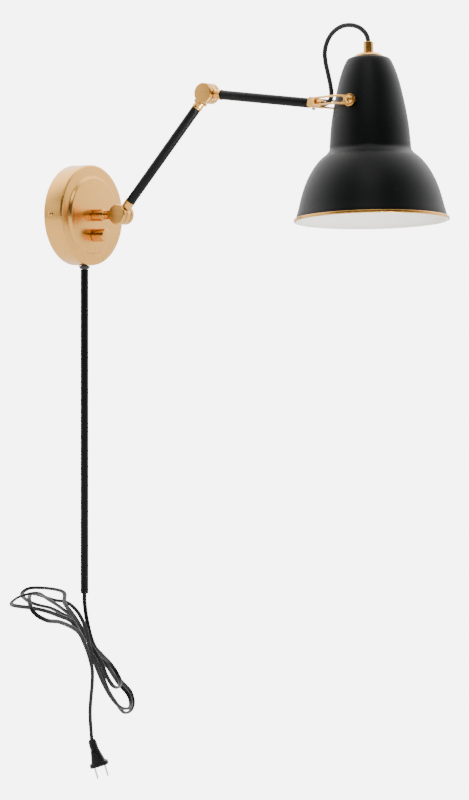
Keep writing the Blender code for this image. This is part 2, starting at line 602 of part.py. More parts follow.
def make_socket():
    wall_r = 15.0 * MM
    body = [(5.0 * MM, SOCKET_TOP), (SOCKET_R - 2.5 * MM, SOCKET_TOP), (SOCKET_R, SOCKET_TOP - 2.5 * MM),
            (SOCKET_R, SOCKET_MOUTH), (wall_r, SOCKET_MOUTH), (wall_r, SOCKET_TOP - 3 * MM),
            (5.0 * MM, SOCKET_TOP - 3 * MM)]
    turned("lampholder_body", body, PHENOLIC, head, ring=True, steps=24)
    tube("socket_insulator", wall_r - 0.4 * MM, 2.6 * MM, 33 * MM, 36.5 * MM, CERAMIC, head, steps=20)
    shell = [(14.0 * MM, 32.6 * MM), (14.0 * MM, SOCKET_MOUTH + 3 * MM), (13.4 * MM, SOCKET_MOUTH + 3 * MM),
             (13.4 * MM, 32.0 * MM), (6.0 * MM, 32.0 * MM), (6.0 * MM, 32.6 * MM)]
    turned("socket_shell", shell, BRASS, head, ring=True, steps=24)
    contact = [(0, 34.5 * MM), (2.2 * MM, 34.5 * MM), (2.2 * MM, 32.6 * MM), (4.0 * MM, 32.6 * MM),
               (4.0 * MM, 31.4 * MM), (0, 31.0 * MM)]
    turned("socket_contact", contact, BRASS, head, steps=16)


def make_pivots():
    seat = STRAP_EYE_X + STRAP_THICK + GAP
    r = SCREW_HEAD_R
    for side, turn in (("left", ACROSS_BACK), ("right", ACROSS)):
        profile = [(0, seat + 3.7 * MM), (0.35 * r, seat + 3.5 * MM), (0.68 * r, seat + 2.8 * MM),
                   (0.92 * r, seat + 1.6 * MM), (r, seat + 0.5 * MM), (r, seat), (PIVOT_R, seat),
                   (PIVOT_R, 32 * MM), (0, 32 * MM)]
        screw = turned(f"pivot_screw_{side}", profile, BRASS, head, rotation=turn, steps=20)
        low = (-6 * MM, -0.6 * MM, seat + 2.0 * MM)
        slot = box(f"pivot_screw_slot_{side}", low, (6 * MM, 0.6 * MM, seat + 5 * MM), None, head)
        slot.rotation_mode = "QUATERNION"
        lean = Matrix.Rotation(turn[1], 3, "Y")
        slot.rotation_quaternion = (lean @ Matrix.Rotation(radians(20), 3, "Z")).to_quaternion()
        cut(screw, slot)
        prism(f"pivot_nut_{side}", 6, 8 * MM, 33.0 * MM, 36.2 * MM, PIVOT_BORE_R, STEEL, head, rotation=turn)


def make_plug():
    start = Vector(CORD_ROUTE[-1]) * MM
    across = (PLUG_ACROSS - PLUG_ACROSS.dot(PLUG_AXIS) * PLUG_AXIS).normalized()
    thick = PLUG_AXIS.cross(across)
    turn = Matrix((across, thick, PLUG_AXIS)).transposed().to_euler()
    plug = frame("plug_axis", None, start, turn)
    # half width and half thickness of the moulding at distances from the cord's end
    stations = ((1.0, 3.2, 3.0), (2.5, 4.6, 4.0), (12.0, 5.0, 4.6), (12.8, 5.6, 5.2), (20.0, 7.0, 6.2),
                (27.0, 8.8, 7.2), (28.0, 11.4, 8.2), (32.5, 11.4, 8.2))
    mesh = bpy.data.meshes.new("plug_body")
    build = bmesh.new()
    rings = []
    for along, wide, deep in stations:
        ring = []
        for i in range(16):
            angle = 2 * pi * i / 16
            c, s = cos(angle), sin(angle)
            ring.append(build.verts.new((wide * MM * abs(c) ** 0.6 * (1 if c > 0 else -1),
                                         deep * MM * abs(s) ** 0.6 * (1 if s > 0 else -1), along * MM)))
        rings.append(ring)
    for low, high in zip(rings, rings[1:]):
        for i in range(16):
            build.faces.new((low[i], low[(i + 1) % 16], high[(i + 1) % 16], high[i]))
    build.faces.new(reversed(rings[0]))
    build.faces.new(rings[-1])
    bmesh.ops.recalc_face_normals(build, faces=build.faces)
    build.to_mesh(mesh)
    build.free()
    place(mesh_object("plug_body", mesh, RUBBER), plug)
    half = 6.35 * MM
    for side, x in (("left", -half), ("right", half)):
        low = (x - 0.75 * MM, -3.1 * MM, 32.8 * MM)
        box(f"plug_blade_{side}", low, (x + 0.75 * MM, 3.1 * MM, 46.5 * MM), NICKEL, plug)


make_bracket()
make_canopy()
make_side_screws()
make_post()
make_dimmer()
make_connectors()
make_cord_cover()
make_arms()
make_yoke()
make_shade()
make_socket()
make_pivots()
cord("power_cord", smooth_route(CORD_ROUTE, 80), LEAD_R, RUBBER)
make_plug()
cord("head_cable", smooth_route(HEAD_ROUTE, 60), HEAD_CABLE_R, BRAID)
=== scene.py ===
import json
from math import atan2, cos, pi, radians, sin

import bmesh
import bpy
from mathutils import Matrix, Vector


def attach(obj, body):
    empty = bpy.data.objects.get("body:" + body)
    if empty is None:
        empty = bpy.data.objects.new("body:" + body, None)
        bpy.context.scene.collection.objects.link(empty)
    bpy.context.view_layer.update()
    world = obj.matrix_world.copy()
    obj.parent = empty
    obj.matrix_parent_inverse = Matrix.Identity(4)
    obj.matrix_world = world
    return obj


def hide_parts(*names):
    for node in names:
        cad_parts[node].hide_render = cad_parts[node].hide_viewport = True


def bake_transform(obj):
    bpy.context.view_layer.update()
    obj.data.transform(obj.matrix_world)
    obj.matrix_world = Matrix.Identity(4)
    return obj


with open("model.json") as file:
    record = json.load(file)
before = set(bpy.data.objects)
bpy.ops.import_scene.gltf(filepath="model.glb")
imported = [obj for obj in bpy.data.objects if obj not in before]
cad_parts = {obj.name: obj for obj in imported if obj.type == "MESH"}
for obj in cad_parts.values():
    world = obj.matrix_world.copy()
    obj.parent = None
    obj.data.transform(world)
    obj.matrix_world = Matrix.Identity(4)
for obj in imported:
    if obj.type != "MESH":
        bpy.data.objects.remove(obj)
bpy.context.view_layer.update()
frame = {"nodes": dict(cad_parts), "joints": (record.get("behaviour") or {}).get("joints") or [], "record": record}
mm = 0.001

cameraView = {
    "place": (-2.2300, -1.7655, -0.0839),
    "towards": (0.8241, 0.5664, 0.0),
    "lens": 105.75,
    "sensor": 36,
    "rise": -0.1437,
}


def addCamera(view):
    data = bpy.data.cameras.new("viewCamera")
    data.lens = view["lens"]
    data.sensor_width = view["sensor"]
    data.shift_y = view["rise"]
    camera = bpy.data.objects.new("viewCamera", data)
    bpy.context.scene.collection.objects.link(camera)
    camera.location = view["place"]
    camera.rotation_euler = Vector(view["towards"]).to_track_quat("-Z", "Y").to_euler()
    bpy.context.scene.camera = camera


# node trees: Wire turns sums on sockets into Math nodes, Nodes makes every other node

class Wire:
    def __init__(self, tree, socket):
        self.tree = tree
        self.socket = socket

    def combine(self, operation, first, second=None):
        made = self.tree.nodes.new("ShaderNodeMath")
        made.operation = operation
        for i, value in enumerate((first, second)):
            if isinstance(value, Wire):
                self.tree.links.new(value.socket, made.inputs[i])
            elif value is not None:
                made.inputs[i].default_value = value
        return Wire(self.tree, made.outputs[0])

    def __add__(self, other):
        return self.combine("ADD", self, other)

    def __radd__(self, other):
        return self.combine("ADD", other, self)

    def __sub__(self, other):
        return self.combine("SUBTRACT", self, other)

    def __rsub__(self, other):
        return self.combine("SUBTRACT", other, self)

    def __mul__(self, other):
        return self.combine("MULTIPLY", self, other)

    def __rmul__(self, other):
        return self.combine("MULTIPLY", other, self)

    def wave(self):
        return self.combine("SINE", self)

    def atLeast(self, other):
        return self.combine("MAXIMUM", self, other)

    # another output of the node that this socket belongs to
    def beside(self, name):
        return Wire(self.tree, self.socket.node.outputs[name])


class Nodes:
    def __init__(self, tree):
        self.tree = tree

    def feed(self, socket, value):
        if isinstance(value, Wire):
            self.tree.links.new(value.socket, socket)
        elif isinstance(value, tuple) and socket.type == "RGBA":
            socket.default_value = (*value, 1.0)
        else:
            socket.default_value = value

    def node(self, kind, settings=None, sockets=None, output=0):
        made = self.tree.nodes.new(kind)
        for key, value in (settings or {}).items():
            setattr(made, key, value)
        for key, value in (sockets or {}).items():
            self.feed(made.inputs[key], value)
        return Wire(self.tree, made.outputs[output]) if made.outputs else None

    def blend(self, share, first, second):
        return self.node("ShaderNodeMix", {"data_type": "RGBA"}, {0: share, 6: first, 7: second}, 2)


class Finish(Nodes):
    def __init__(self, name, **constants):
        self.material = bpy.data.materials.new(name)
        self.material.use_nodes = True
        super().__init__(self.material.node_tree)
        self.shader = self.tree.nodes["Principled BSDF"]
        for key, value in constants.items():
            self.set(key.replace("_", " "), value)

    def set(self, name, value):
        self.feed(self.shader.inputs[name], value)

    def places(self, scale=(1, 1, 1), turn=(0, 0, 0)):
        where = self.node("ShaderNodeTexCoord", output="Object")
        return self.node("ShaderNodeMapping", {}, {"Vector": where, "Scale": scale, "Rotation": turn})

    def noise(self, scale, detail=3.0, rough=0.5, stretch=(1, 1, 1), turn=(0, 0, 0)):
        where = self.places(stretch, turn)
        sockets = {"Vector": where, "Scale": scale, "Detail": detail, "Roughness": rough}
        return self.node("ShaderNodeTexNoise", {}, sockets)

    def relief(self, height, depth, strength):
        sockets = {"Strength": strength, "Distance": depth, "Height": height}
        self.set("Normal", self.node("ShaderNodeBump", {}, sockets))


# finishes: colours, grain in noise cells per metre, depth of the relief in metres

brassLook = {
    "light": (0.82, 0.43, 0.105), "deep": (0.75, 0.38, 0.085), "roughness": 0.20,
    "cloudScale": 38.0, "lineScale": 900.0, "lineShare": 0.3, "lineGloss": 0.08, "cloudGloss": 0.04,
    "depth": 0.00002, "strength": 0.15,
}
enamelLook = {
    "colour": (0.0016, 0.0018, 0.0018), "worn": (0.0035, 0.0038, 0.0038),
    "roughness": 0.36, "gloss": 0.17, "peelScale": 620.0, "cloudScale": 24.0,
    "peelGloss": 0.05, "cloudGloss": 0.08, "depth": 0.00001, "strength": 0.25,
}
liningLook = {
    "colour": (0.90, 0.88, 0.82), "shade": (0.87, 0.85, 0.78), "roughness": 0.5,
    "peelScale": 520.0, "cloudScale": 18.0, "peelGloss": 0.1, "depth": 0.00002, "strength": 0.3,
}
plasticLook = {
    "grain": 700.0, "cloudScale": 45.0, "cloudGloss": 0.12,
    "depth": 0.00001, "strength": 0.4, "gloss": 0.5,
}
steelLook = {
    "spangle": 260.0, "darker": 0.8, "spangleGloss": 0.16, "depth": 0.00003, "strength": 0.3,
}
braidLook = {
    "strands": 7, "pitch": 0.0052, "shadedValley": (0.001, 0.001, 0.001), "crest": (0.012, 0.012, 0.012),
    "roughness": 0.62, "crestGloss": 0.12, "depth": 0.00018, "strength": 0.5,
}


def brassFinish(name, stretch, turn=(0, 0, 0)):
    look = brassLook
    finish = Finish(name, Metallic=1.0)
    cloud = finish.noise(look["cloudScale"], 4.0)
    lines = finish.noise(look["lineScale"], 2.0, 0.6, stretch, turn)
    share = cloud * (1 - look["lineShare"]) + lines * look["lineShare"]
    finish.set("Base Color", finish.blend(share, look["deep"], look["light"]))
    finish.set("Roughness", look["roughness"] + lines * look["lineGloss"] + cloud * look["cloudGloss"])
    finish.relief(lines, look["depth"], look["strength"])
    return finish.material


def enamelFinish(name):
    look = enamelLook
    finish = Finish(name, Specular_IOR_Level=look["gloss"])
    peel = finish.noise(look["peelScale"], 2.0)
    cloud = finish.noise(look["cloudScale"])
    finish.set("Base Color", finish.blend(cloud * peel, look["colour"], look["worn"]))
    finish.set("Roughness", look["roughness"] + cloud * look["cloudGloss"] + peel * look["peelGloss"])
    finish.relief(peel, look["depth"], look["strength"])
    return finish.material


def liningFinish(name):
    look = liningLook
    finish = Finish(name)
    peel = finish.noise(look["peelScale"], 2.0)
    cloud = finish.noise(look["cloudScale"])
    finish.set("Base Color", finish.blend(cloud, look["shade"], look["colour"]))
    finish.set("Roughness", look["roughness"] + peel * look["peelGloss"])
    finish.relief(peel, look["depth"], look["strength"])
    return finish.material


# own holds what a plastic has otherwise than plasticLook
def plasticFinish(name, colour, roughness, **own):
    look = {**plasticLook, **own}
    finish = Finish(name, Specular_IOR_Level=look["gloss"])
    skin = finish.noise(look["grain"])
    cloud = finish.noise(look["cloudScale"], 2.0)
    lighter = tuple(min(1.0, c * 1.5 + 0.001) for c in colour)
    finish.set("Base Color", finish.blend(skin * cloud, colour, lighter))
    finish.set("Roughness", roughness + cloud * look["cloudGloss"])
    finish.relief(skin, look["depth"], look["strength"])
    return finish.material


def steelFinish(name, colour, roughness):
    look = steelLook
    finish = Finish(name, Metallic=1.0)
    spangle = finish.noise(look["spangle"], 4.0, 0.7)
    darker = tuple(c * look["darker"] for c in colour)
    finish.set("Base Color", finish.blend(spangle, darker, colour))
    finish.set("Roughness", roughness + spangle * look["spangleGloss"])
    finish.relief(spangle, look["depth"], look["strength"])
    return finish.material


# two sets of threads cross as they wind round the cable; the valleys between the threads are painted darker as
# shade
def braidFinish(name):
    look = braidLook
    finish = Finish(name)
    where = finish.node("ShaderNodeUVMap", {"uv_map": "along"})
    around = finish.node("ShaderNodeSeparateXYZ", {}, {0: where})
    turn = around * (2 * pi * look["strands"])
    run = around.beside("Y") * (2 * pi / look["pitch"])
    rise = (turn + run).wave().atLeast((turn - run).wave())
    # painted shade: the colour goes darker in the valleys between the threads
    finish.set("Base Color", finish.blend(rise * 0.5 + 0.5, look["shadedValley"], look["crest"]))
    finish.set("Roughness", look["roughness"] - rise * look["crestGloss"])
    finish.relief(rise, look["depth"], look["strength"])
    return finish.material


brass = brassFinish("satinBrass", (1.0, 1.0, 0.12))
brushedFace = brassFinish("brushedBrassFace", (1.0, 1.0, 0.06), (radians(38), 0, 0))
enamel = enamelFinish("blackEnamel")
lining = liningFinish("whiteLining")
cordSkin = plasticFinish("cordPvc", (0.0015, 0.0015, 0.0015), 0.24, gloss=0.3)
plugSkin = plasticFinish("plugPvc", (0.003, 0.003, 0.003), 0.40, grain=900.0, depth=0.00005, gloss=0.3)
mould = plasticFinish("mouldedBlack", (0.018, 0.017, 0.016), 0.36)
glaze = plasticFinish("whiteGlaze", (0.80, 0.79, 0.74), 0.2, grain=300.0)
fibre = plasticFinish("washerFibre", (0.06, 0.045, 0.04), 0.6, grain=500.0, depth=0.00006)
zinc = steelFinish("zincSteel", (0.66, 0.66, 0.64), 0.26)
nickel = steelFinish("bladeNickel", (0.80, 0.76, 0.66), 0.18)
braid = braidFinish("cableBraid")


# frames, as in the CAD: the wall's looks out along -Y, an arm's Z runs along the arm

joints = {joint["name"]: joint for joint in frame["joints"]}
lowerAxis = Vector(joints["lower_elbow"]["pos_m"])
upperAxis = Vector(joints["upper_elbow"]["pos_m"])
yokeRoot = Vector(joints["yoke_swivel"]["pos_m"])
yokeFit = {"roll": -3.5, "along": 77.9, "rise": 4.6, "lean": 10.3}
coverOut = 13.6


def frameAt(place, along):
    tilt = atan2(-along.y, along.z)
    return Matrix.Translation(place) @ Matrix.Rotation(tilt, 4, "X")


def shift(x, y, z):
    return Matrix.Translation((x * mm, y * mm, z * mm))


wallFrame = Matrix.Rotation(pi / 2, 4, "X")
coverFrame = shift(0, -coverOut, 0)
lowerFork = frameAt(lowerAxis, Vector((0, -1, 0)))
lowerArm = frameAt(lowerAxis, upperAxis - lowerAxis)
upperFork = frameAt(upperAxis, upperAxis - lowerAxis)
upperArm = frameAt(upperAxis, yokeRoot - upperAxis)
yokeFrame = frameAt(yokeRoot, yokeRoot - upperAxis) @ Matrix.Rotation(radians(yokeFit["roll"]), 4, "Z")
headFrame = yokeFrame @ shift(0, yokeFit["rise"], yokeFit["along"])
headFrame = headFrame @ Matrix.Rotation(radians(-90 - yokeFit["lean"]), 4, "X")
toRight = Matrix.Rotation(pi / 2, 4, "Y")
toLeft = Matrix.Rotation(-pi / 2, 4, "Y")
lowerLength = (upperAxis - lowerAxis).length / mm
upperLength = (yokeRoot - upperAxis).length / mm


# meshes, in mm until they are placed

# a profile's points are (radius, height) or (radius, height, fillet)
def rounded(points, closed, steps=4):
    out = []
    count = len(points)
    for i, point in enumerate(points):
        here = Vector(point[:2])
        fillet = point[2] if len(point) > 2 else 0
        if not fillet or (not closed and i in (0, count - 1)):
            out.append(here)
            continue
        before = Vector(points[i - 1][:2]) - here
        after = Vector(points[(i + 1) % count][:2]) - here
        start = here + before.normalized() * min(fillet, before.length * 0.49)
        stop = here + after.normalized() * min(fillet, after.length * 0.49)
        for k in range(steps + 1):
            t = k / steps
            out.append((1 - t) ** 2 * start + 2 * t * (1 - t) * here + t * t * stop)
    return out


def turnInto(build, points, place, closed, segments=64, sorts=None):
    rings = []
    for radius, height in points:
        if radius < 1e-6:
            rings.append([build.verts.new(place @ Vector((0, 0, height * mm)))])
            continue
        ring = []
        for k in range(segments):
            turn = 2 * pi * k / segments
            spot = Vector((radius * cos(turn), radius * sin(turn), height)) * mm
            ring.append(build.verts.new(place @ spot))
        rings.append(ring)
    pairs = list(zip(rings, rings[1:]))
    if closed:
        pairs.append((rings[-1], rings[0]))
    faces = []
    for band, (upper, lower) in enumerate(pairs):
        for k in range(segments):
            n = (k + 1) % segments
            corners = [upper[k % len(upper)], lower[k % len(lower)],
                       lower[n % len(lower)], upper[n % len(upper)]]
            corners = [v for i, v in enumerate(corners) if v not in corners[:i]]
            if len(corners) > 2:
                face = build.faces.new(corners)
                face.material_index = sorts[band] if sorts else 0
                faces.append(face)
    # faces point outwards: a negative volume means that they point in
    volume = 0.0
    middle = place @ Vector((0, 0, points[0][1] * mm))
    for face in faces:
        fan = [v.co - middle for v in face.verts]
        for i in range(1, len(fan) - 1):
            volume += fan[0].dot(fan[i].cross(fan[i + 1]))
    if volume < 0:
        bmesh.ops.reverse_faces(build, faces=faces)


def boxInto(build, low, high, place):
    size = Vector(high) - Vector(low)
    middle = (Vector(high) + Vector(low)) / 2
    matrix = place @ Matrix.Translation(middle * mm) @ Matrix.Diagonal((*(size * mm), 1))
    bmesh.ops.create_cube(build, size=1.0, matrix=matrix)


def finished(name, build, looks, body, replaced=(), sharp=38):
    mesh = bpy.data.meshes.new(name)
    build.to_mesh(mesh)
    build.free()
    for look in looks:
        mesh.materials.append(look)
    mesh.shade_smooth()
    mesh.set_sharp_from_angle(angle=radians(sharp))
    piece = bpy.data.objects.new(name, mesh)
    bpy.context.scene.collection.objects.link(piece)
    if body:
        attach(piece, body)
    if replaced:
        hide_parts(*replaced)
    return piece


def turnedPiece(name, profile, place, look, body, replaced, closed=True, segments=64):
    build = bmesh.new()
    turnInto(build, rounded(profile, closed), place, closed, segments)
    return finished(name, build, [look], body, [replaced])


def pipe(shape):
    edge = shape["edge"]
    return [
        (shape["radius"], shape["high"], edge),
        (shape["radius"], shape["low"], shape.get("lowEdge", edge)),
        (shape["bore"], shape["low"]),
        (shape["bore"], shape["high"]),
    ]


# the wall end: canopy, post, knob and cord cover

canopyShape = {
    "radius": 60.3, "depth": 26.0, "wall": 1.2, "discBase": 46.8, "discTop": 45.0,
    "face": 29.5, "bore": 5.3, "edge": 2.2, "discEdge": 1.0, "stepEdge": 0.7, "lipEdge": 0.3,
    "innerEdge": 1.2, "innerStep": 0.5,
}
postShape = {"radius": 7.5, "bore": 5.3, "low": 29.8, "high": 44.0, "edge": 0.8, "lowEdge": 0.2}
knobShape = {
    "radius": 7.9, "end": 47.1, "start": 30.0, "drop": 24.0, "edge": 1.0, "backEdge": 0.4,
    "hollow": 6.6, "hollowEnd": 34.8, "bore": 3.2, "boreEnd": 43.3,
}
coverShape = {"radius": 4.7, "bore": 3.8, "low": -455.0, "high": -65.3, "edge": 0.4}
bushingShape = {"radius": 3.5, "bore": 2.8, "low": -455.0, "high": -448.0, "edge": 0.5}


def canopyProfile(shape):
    wall = shape["wall"]
    depth = shape["depth"] - wall
    face = shape["face"] - wall
    return [
        (shape["bore"], shape["face"]),
        (shape["discTop"], shape["face"], shape["discEdge"]),
        (shape["discBase"], shape["depth"], shape["stepEdge"]),
        (shape["radius"], shape["depth"], shape["edge"]),
        (shape["radius"], 0.0, shape["lipEdge"]),
        (shape["radius"] - wall, 0.0, shape["lipEdge"]),
        (shape["radius"] - wall, depth, shape["innerEdge"]),
        (shape["discBase"] - wall, depth, shape["innerStep"]),
        (shape["discTop"] - wall, face, shape["innerStep"]),
        (shape["bore"], face),
    ]


def knobProfile(shape):
    return [
        (0, shape["end"]),
        (shape["radius"], shape["end"], shape["edge"]),
        (shape["radius"], shape["start"], shape["backEdge"]),
        (shape["hollow"], shape["start"]),
        (shape["hollow"], shape["hollowEnd"]),
        (shape["bore"], shape["hollowEnd"]),
        (shape["bore"], shape["boreEnd"]),
        (0, shape["boreEnd"]),
    ]


def makeWallEnd():
    turnedPiece("canopyShell", canopyProfile(canopyShape), wallFrame, brass, "wall_base",
                "canopy", segments=160)
    turnedPiece("postSleeve", pipe(postShape), wallFrame, brass, "wall_base",
                "post_barrel")
    turnedPiece("dimmerKnob", knobProfile(knobShape), wallFrame @ shift(0, -knobShape["drop"], 0), brass,
                "dimmer", "dimmer_knob", closed=False)
    turnedPiece("cordCover", pipe(coverShape), coverFrame, enamel, "wall_base",
                "cord_cover", segments=48)
    turnedPiece("coverBushing", pipe(bushingShape), coverFrame, plugSkin, "wall_base",
                "cover_bushing", segments=32)


# elbows and arms

elbowShape = {
    "radius": 12.0, "tongue": 3.5, "cheekIn": 4.7, "cheekOut": 7.45, "bore": 2.3, "edge": 0.45,
    "capIn": 7.75, "capOut": 10.0, "capBevel": 1.0, "bevelEdge": 0.15, "capEdge": 0.3,
    "pocket": 4.6, "pocketEnd": 9.4,
}
ferruleShape = {
    "radius": 5.75, "lip": 6.2, "end": 21.0, "lipLong": 0.9, "taper": 2.4, "spigot": 4.5,
    "spigotEnd": 33.0, "wire": 2.4, "forkStart": 12.2, "tongueStart": 12.4,
}
neckShape = {
    "spigot": 5.0, "end": 32.6, "collar": 24.8, "lip": 6.2, "lipEnd": 23.8, "radius": 5.5,
    "start": 12.2, "wire": 2.4,
}
forkRoot = {"low": (-7.2, -4.6, -15.4), "high": (7.2, 4.6, -12.5)}
tongueWeb = {"low": (-3.4, -4.4, 10.5), "high": (3.4, 4.4, 14.0)}
tubeShape = {"radius": 5.55, "bore": 4.8, "edge": 0.35, "gap": 0.3, "endGap": 1.1}
bushShape = {
    "radius": 5.55, "flange": 0.7, "spigot": 4.5, "depth": 14.0, "bore": 3.9, "gap": 0.1, "edge": 0.2,
}
barrelShape = {
    "radius": 4.9, "high": 17.0, "low": 0.4, "spigot": 3.6, "spigotEnd": -13.0, "bore": 2.95,
    "edge": 0.7, "lowEdge": 0.2,
}


def discPiece(build, low, high, place):
    shape = elbowShape
    disc = {**shape, "low": low, "high": high}
    turnInto(build, rounded(pipe(disc), True), place, True, 96)


# sign +1 runs the ferrule up the arm, -1 down it
def ferruleProfile(start, sign):
    shape = ferruleShape
    points = [
        (shape["spigot"], shape["spigotEnd"], 0.4),
        (shape["spigot"], shape["end"]),
        (shape["lip"], shape["end"], 0.25),
        (shape["lip"], shape["end"] - shape["lipLong"], 0.25),
        (shape["radius"], shape["end"] - shape["taper"], 0.5),
        (shape["radius"], start),
        (shape["wire"], start),
        (shape["wire"], shape["spigotEnd"]),
    ]
    return [(point[0], sign * point[1], *point[2:]) for point in points]


def neckProfile(shape):
    return [
        (shape["spigot"], -shape["end"], 0.4),
        (shape["spigot"], -shape["collar"]),
        (shape["lip"], -shape["collar"], 0.3),
        (shape["radius"], -shape["lipEnd"], 0.4),
        (shape["radius"], -shape["start"]),
        (shape["wire"], -shape["start"]),
        (shape["wire"], -shape["end"]),
    ]


def makeFork(name, place, neck, body, node):
    build = bmesh.new()
    for turn in (toRight, toLeft):
        discPiece(build, elbowShape["cheekIn"], elbowShape["cheekOut"], place @ turn)
    turnInto(build, rounded(neck, True), place, True)
    boxInto(build, forkRoot["low"], forkRoot["high"], place)
    finished(name, build, [brass], body, [node])


def makeTongue(name, place, body, node):
    build = bmesh.new()
    discPiece(build, -elbowShape["tongue"], elbowShape["tongue"], place @ toRight)
    turnInto(build, rounded(ferruleProfile(ferruleShape["tongueStart"], 1), True), place, True)
    boxInto(build, tongueWeb["low"], tongueWeb["high"], place)
    finished(name, build, [brass], body, [node])


# the flat of a cap is brushed across, its rim is satin
def makeCaps(end, place, body):
    shape = elbowShape
    rim = shape["radius"]
    flat = rim - shape["capBevel"]
    profile = [
        (0, shape["capOut"]),
        (flat, shape["capOut"], shape["bevelEdge"]),
        (rim, shape["capOut"] - shape["capBevel"], shape["bevelEdge"]),
        (rim, shape["capIn"], shape["capEdge"]),
        (shape["pocket"], shape["capIn"]),
        (shape["pocket"], shape["pocketEnd"]),
        (0, shape["pocketEnd"]),
    ]
    points = rounded(profile, False)
    sorts = []
    for inner, outer in zip(points, points[1:]):
        sorts.append(1 if inner[0] < flat and outer[1] > shape["capOut"] - 0.1 else 0)
    for side, turn in (("rear", toRight), ("front", toLeft)):
        build = bmesh.new()
        turnInto(build, points, place @ turn, False, 96, sorts)
        finished(f"{end}Cap{side.title()}", build, [brass, brushedFace], body,
                 [f"{end}_cap_{side}"], sharp=25)


def makeArms():
    makeFork("lowerFork", lowerFork, neckProfile(neckShape), "swivel", "lower_fork")
    ferrule = ferruleProfile(ferruleShape["forkStart"], -1)
    makeFork("upperFork", upperFork, ferrule, "lower_arm", "upper_fork")
    makeTongue("lowerTongue", lowerArm, "lower_arm", "lower_tongue")
    makeTongue("upperTongue", upperArm, "upper_arm", "upper_tongue")
    makeCaps("lower", lowerFork, "swivel")
    makeCaps("upper", upperFork, "lower_arm")
    start = ferruleShape["end"] + tubeShape["gap"]
    tube = {**tubeShape, "low": start, "high": lowerLength - start}
    turnedPiece("lowerTube", pipe(tube), lowerArm, enamel, "lower_arm", "lower_arm_tube")
    tube["high"] = upperLength - tubeShape["endGap"]
    turnedPiece("upperTube", pipe(tube), upperArm, enamel, "upper_arm", "upper_arm_tube")
    shape = bushShape
    end = upperLength - shape["gap"]
    bush = [
        (shape["radius"], end, shape["edge"]),
        (shape["radius"], end - shape["flange"]),
        (shape["spigot"], end - shape["flange"]),
        (shape["spigot"], end - shape["depth"]),
        (shape["bore"], end - shape["depth"]),
        (shape["bore"], end),
    ]
    turnedPiece("armEndBush", bush, upperArm, brass, "upper_arm", "arm_end_bush")
    shape = barrelShape
    barrel = [
        (shape["radius"], shape["high"], shape["edge"]),
        (shape["radius"], shape["low"], shape["lowEdge"]),
        (shape["spigot"], shape["low"]),
        (shape["spigot"], shape["spigotEnd"]),
        (shape["bore"], shape["spigotEnd"]),
        (shape["bore"], shape["high"]),
    ]
    turnedPiece("cableBarrel", barrel, yokeFrame, brass, "yoke", "cable_nipple")


# shade

shadeOutline = (
    (19.0, 52.3), (22.4, 51.4), (24.8, 49.0), (31.6, 32.5), (38.2, 5.2), (42.9, -21.9),
    (45.0, -44.5), (45.6, -51.0), (48.6, -55.2), (54.6, -60.2), (60.1, -66.3), (65.4, -73.9), (70.2, -82.7),
    (74.2, -92.3), (77.3, -102.2), (81.0, -116.5), (83.6, -126.0), (84.1, -130.0),
)
shadeShape = {"wall": 1.0, "hole": 5.0, "top": 52.4, "steps": 6}
rimShape = {
    "inner": 84.5, "outer": 85.9, "high": -126.7, "low": -129.9, "innerEdge": 0.2, "outerEdge": 0.8,
}
domeShape = {"bore": 5.0, "base": 52.7, "top": 58.5}
domeOutline = (
    (5.9, 58.5, 0.3), (8.5, 58.0, 1.5), (12.5, 56.6, 2.5), (15.2, 54.9, 1.0), (16.2, 53.9, 0.4),
    (16.2, 52.7),
)
gripShape = {
    "radius": 5.5, "high": 70.3, "low": 58.8, "edge": 0.8, "lowEdge": 0.2, "bore": 5.0,
    "step": 62.8, "cable": 3.0,
}


# a curve through all the points, even where they stand at uneven distances
def smoothLine(points, steps):
    way = [Vector(p) for p in points]
    way = [2 * way[0] - way[1], *way, 2 * way[-1] - way[-2]]
    out = []
    for p0, p1, p2, p3 in zip(way, way[1:], way[2:], way[3:]):
        knots = [0.0]
        for a, b in ((p0, p1), (p1, p2), (p2, p3)):
            knots.append(knots[-1] + (b - a).length ** 0.5)
        t0, t1, t2, t3 = knots
        for k in range(steps):
            t = t1 + (t2 - t1) * k / steps
            a1 = p0.lerp(p1, (t - t0) / (t1 - t0))
            a2 = p1.lerp(p2, (t - t1) / (t2 - t1))
            a3 = p2.lerp(p3, (t - t2) / (t3 - t2))
            b1 = a1.lerp(a2, (t - t0) / (t2 - t0))
            b2 = a2.lerp(a3, (t - t1) / (t3 - t1))
            out.append(b1.lerp(b2, (t - t1) / (t2 - t1)))
    return [*out, way[-2]]


